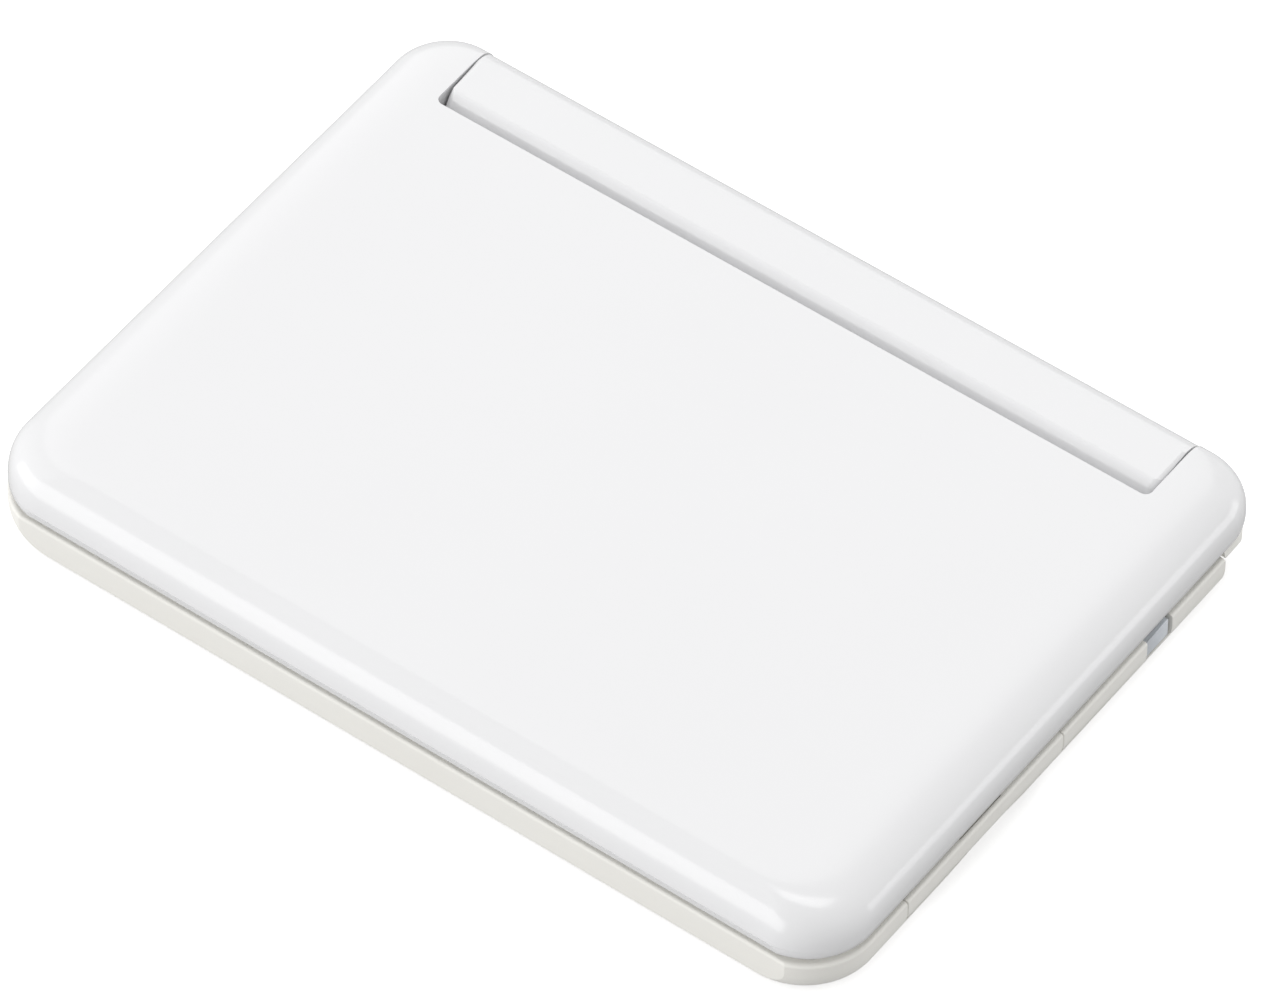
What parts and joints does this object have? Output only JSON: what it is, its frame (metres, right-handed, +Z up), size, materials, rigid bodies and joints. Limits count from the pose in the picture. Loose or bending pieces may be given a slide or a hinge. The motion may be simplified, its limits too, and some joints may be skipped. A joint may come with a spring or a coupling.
{
  "type": "electronic dictionary",
  "caption": "Closed pocket electronic dictionary: glossy rounded lid notched round a fixed spine, thin base with keyboard, writing pad, side stylus and ports.",
  "frame": {"origin": "under the middle of the closed case, on the surface it stands on", "axes": "+X to the right along the front edge, +Y towards the spine, +Z up"},
  "size_m": [0.148, 0.1054, 0.0157],
  "materials": {
    "lid_gloss": "high-gloss moulded white",
    "case_ivory": "satin moulded ivory",
    "frame_ivory": "satin moulded ivory",
    "key_white": "moulded white keys",
    "clear_nib": "clear blue-grey plastic",
    "dark_glass": "dark display glass",
    "pad_glass": "grey display glass",
    "panel_metal": "sheet metal",
    "steel": "plated steel",
    "cell_jacket": "printed metal jacket",
    "board_green": "solder-masked board",
    "silicone": "translucent silicone",
    "foot_rubber": "grey rubber",
    "black_plastic": "black moulded plastic"
  },
  "bodies": {
    "base": {"lower_case": "case_ivory", "keyboard_deck": "case_ivory", "spine_cover": "lid_gloss", "battery_cells": "cell_jacket", "battery_contacts": "steel", "main_board": "board_green", "key_membrane": "silicone", "writing_pad": "pad_glass", "touch_strip": "key_white", "speaker": "black_plastic", "headphone_jack": "black_plastic", "usb_socket": "steel", "card_socket": "steel", "hinge_shafts": "steel", "rubber_feet": "foot_rubber", "case_screws": "steel"},
    "lid": {"lid_shell": "lid_gloss", "lid_frame": "frame_ivory", "screen_glass": "dark_glass", "lcd_panel": "panel_metal", "lid_bumpers": "foot_rubber", "lid_screws": "steel"},
    "battery_cover": {"battery_cover": "case_ivory"},
    "port_cover": {"port_cover": "case_ivory"},
    "stylus": {"stylus_grip": "case_ivory", "stylus_barrel": "case_ivory", "stylus_nib": "clear_nib"},
    "key_q": {"key_q": "key_white"},
    "key_w": {"key_w": "key_white"},
    "key_e": {"key_e": "key_white"},
    "key_r": {"key_r": "key_white"},
    "key_t": {"key_t": "key_white"},
    "key_y": {"key_y": "key_white"},
    "key_u": {"key_u": "key_white"},
    "key_i": {"key_i": "key_white"},
    "key_o": {"key_o": "key_white"},
    "key_p": {"key_p": "key_white"},
    "key_a": {"key_a": "key_white"},
    "key_s": {"key_s": "key_white"},
    "key_d": {"key_d": "key_white"},
    "key_f": {"key_f": "key_white"},
    "key_g": {"key_g": "key_white"},
    "key_h": {"key_h": "key_white"},
    "key_j": {"key_j": "key_white"},
    "key_k": {"key_k": "key_white"},
    "key_l": {"key_l": "key_white"},
    "key_z": {"key_z": "key_white"},
    "key_x": {"key_x": "key_white"},
    "key_c": {"key_c": "key_white"},
    "key_v": {"key_v": "key_white"},
    "key_b": {"key_b": "key_white"},
    "key_n": {"key_n": "key_white"},
    "key_m": {"key_m": "key_white"},
    "key_shift": {"key_shift": "key_white"},
    "key_delete": {"key_delete": "key_white"},
    "key_power": {"key_power": "key_white"},
    "key_menu": {"key_menu": "key_white"},
    "key_back": {"key_back": "key_white"},
    "cursor_ring": {"cursor_ring": "key_white"},
    "enter_key": {"enter_key": "key_white"}
  },
  "joints": [
    {"name": "lid_hinge", "type": "hinge", "parent": "base", "child": "lid", "pos_m": [0, 0.0472, 0.009], "axis": [-1, 0, 0], "range_deg": [0, 150]},
    {"name": "battery_cover_slide", "type": "slide", "parent": "base", "child": "battery_cover", "axis": [0, 1, 0], "range_m": [0, 0.016]},
    {"name": "stylus_lift", "type": "slide", "parent": "base", "child": "stylus", "axis": [1, 0, 0], "range_m": [0, 0.012]},
    {"name": "port_cover_hinge", "type": "hinge", "parent": "base", "child": "port_cover", "pos_m": [-0.0733, 0.0113, 0.00475], "axis": [0, 0, -1], "range_deg": [0, 90]},
    {"name": "key_q_press", "type": "slide", "parent": "base", "child": "key_q", "axis": [0, 0, -1], "range_m": [0, 0.0006], "stiffness_N_per_m": 800},
    {"name": "key_w_press", "type": "slide", "parent": "base", "child": "key_w", "axis": [0, 0, -1], "range_m": [0, 0.0006], "stiffness_N_per_m": 800},
    {"name": "key_e_press", "type": "slide", "parent": "base", "child": "key_e", "axis": [0, 0, -1], "range_m": [0, 0.0006], "stiffness_N_per_m": 800},
    {"name": "key_r_press", "type": "slide", "parent": "base", "child": "key_r", "axis": [0, 0, -1], "range_m": [0, 0.0006], "stiffness_N_per_m": 800},
    {"name": "key_t_press", "type": "slide", "parent": "base", "child": "key_t", "axis": [0, 0, -1], "range_m": [0, 0.0006], "stiffness_N_per_m": 800},
    {"name": "key_y_press", "type": "slide", "parent": "base", "child": "key_y", "axis": [0, 0, -1], "range_m": [0, 0.0006], "stiffness_N_per_m": 800},
    {"name": "key_u_press", "type": "slide", "parent": "base", "child": "key_u", "axis": [0, 0, -1], "range_m": [0, 0.0006], "stiffness_N_per_m": 800},
    {"name": "key_i_press", "type": "slide", "parent": "base", "child": "key_i", "axis": [0, 0, -1], "range_m": [0, 0.0006], "stiffness_N_per_m": 800},
    {"name": "key_o_press", "type": "slide", "parent": "base", "child": "key_o", "axis": [0, 0, -1], "range_m": [0, 0.0006], "stiffness_N_per_m": 800},
    {"name": "key_p_press", "type": "slide", "parent": "base", "child": "key_p", "axis": [0, 0, -1], "range_m": [0, 0.0006], "stiffness_N_per_m": 800},
    {"name": "key_a_press", "type": "slide", "parent": "base", "child": "key_a", "axis": [0, 0, -1], "range_m": [0, 0.0006], "stiffness_N_per_m": 800},
    {"name": "key_s_press", "type": "slide", "parent": "base", "child": "key_s", "axis": [0, 0, -1], "range_m": [0, 0.0006], "stiffness_N_per_m": 800},
    {"name": "key_d_press", "type": "slide", "parent": "base", "child": "key_d", "axis": [0, 0, -1], "range_m": [0, 0.0006], "stiffness_N_per_m": 800},
    {"name": "key_f_press", "type": "slide", "parent": "base", "child": "key_f", "axis": [0, 0, -1], "range_m": [0, 0.0006], "stiffness_N_per_m": 800},
    {"name": "key_g_press", "type": "slide", "parent": "base", "child": "key_g", "axis": [0, 0, -1], "range_m": [0, 0.0006], "stiffness_N_per_m": 800},
    {"name": "key_h_press", "type": "slide", "parent": "base", "child": "key_h", "axis": [0, 0, -1], "range_m": [0, 0.0006], "stiffness_N_per_m": 800},
    {"name": "key_j_press", "type": "slide", "parent": "base", "child": "key_j", "axis": [0, 0, -1], "range_m": [0, 0.0006], "stiffness_N_per_m": 800},
    {"name": "key_k_press", "type": "slide", "parent": "base", "child": "key_k", "axis": [0, 0, -1], "range_m": [0, 0.0006], "stiffness_N_per_m": 800},
    {"name": "key_l_press", "type": "slide", "parent": "base", "child": "key_l", "axis": [0, 0, -1], "range_m": [0, 0.0006], "stiffness_N_per_m": 800},
    {"name": "key_z_press", "type": "slide", "parent": "base", "child": "key_z", "axis": [0, 0, -1], "range_m": [0, 0.0006], "stiffness_N_per_m": 800},
    {"name": "key_x_press", "type": "slide", "parent": "base", "child": "key_x", "axis": [0, 0, -1], "range_m": [0, 0.0006], "stiffness_N_per_m": 800},
    {"name": "key_c_press", "type": "slide", "parent": "base", "child": "key_c", "axis": [0, 0, -1], "range_m": [0, 0.0006], "stiffness_N_per_m": 800},
    {"name": "key_v_press", "type": "slide", "parent": "base", "child": "key_v", "axis": [0, 0, -1], "range_m": [0, 0.0006], "stiffness_N_per_m": 800},
    {"name": "key_b_press", "type": "slide", "parent": "base", "child": "key_b", "axis": [0, 0, -1], "range_m": [0, 0.0006], "stiffness_N_per_m": 800},
    {"name": "key_n_press", "type": "slide", "parent": "base", "child": "key_n", "axis": [0, 0, -1], "range_m": [0, 0.0006], "stiffness_N_per_m": 800},
    {"name": "key_m_press", "type": "slide", "parent": "base", "child": "key_m", "axis": [0, 0, -1], "range_m": [0, 0.0006], "stiffness_N_per_m": 800},
    {"name": "key_shift_press", "type": "slide", "parent": "base", "child": "key_shift", "axis": [0, 0, -1], "range_m": [0, 0.0006], "stiffness_N_per_m": 800},
    {"name": "key_delete_press", "type": "slide", "parent": "base", "child": "key_delete", "axis": [0, 0, -1], "range_m": [0, 0.0006], "stiffness_N_per_m": 800},
    {"name": "key_power_press", "type": "slide", "parent": "base", "child": "key_power", "axis": [0, 0, -1], "range_m": [0, 0.0006], "stiffness_N_per_m": 800},
    {"name": "key_menu_press", "type": "slide", "parent": "base", "child": "key_menu", "axis": [0, 0, -1], "range_m": [0, 0.0006], "stiffness_N_per_m": 800},
    {"name": "key_back_press", "type": "slide", "parent": "base", "child": "key_back", "axis": [0, 0, -1], "range_m": [0, 0.0006], "stiffness_N_per_m": 800},
    {"name": "cursor_ring_press", "type": "slide", "parent": "base", "child": "cursor_ring", "axis": [0, 0, -1], "range_m": [0, 0.0006], "stiffness_N_per_m": 800},
    {"name": "enter_key_press", "type": "slide", "parent": "base", "child": "enter_key", "axis": [0, 0, -1], "range_m": [0, 0.0006], "stiffness_N_per_m": 800}
  ]
}
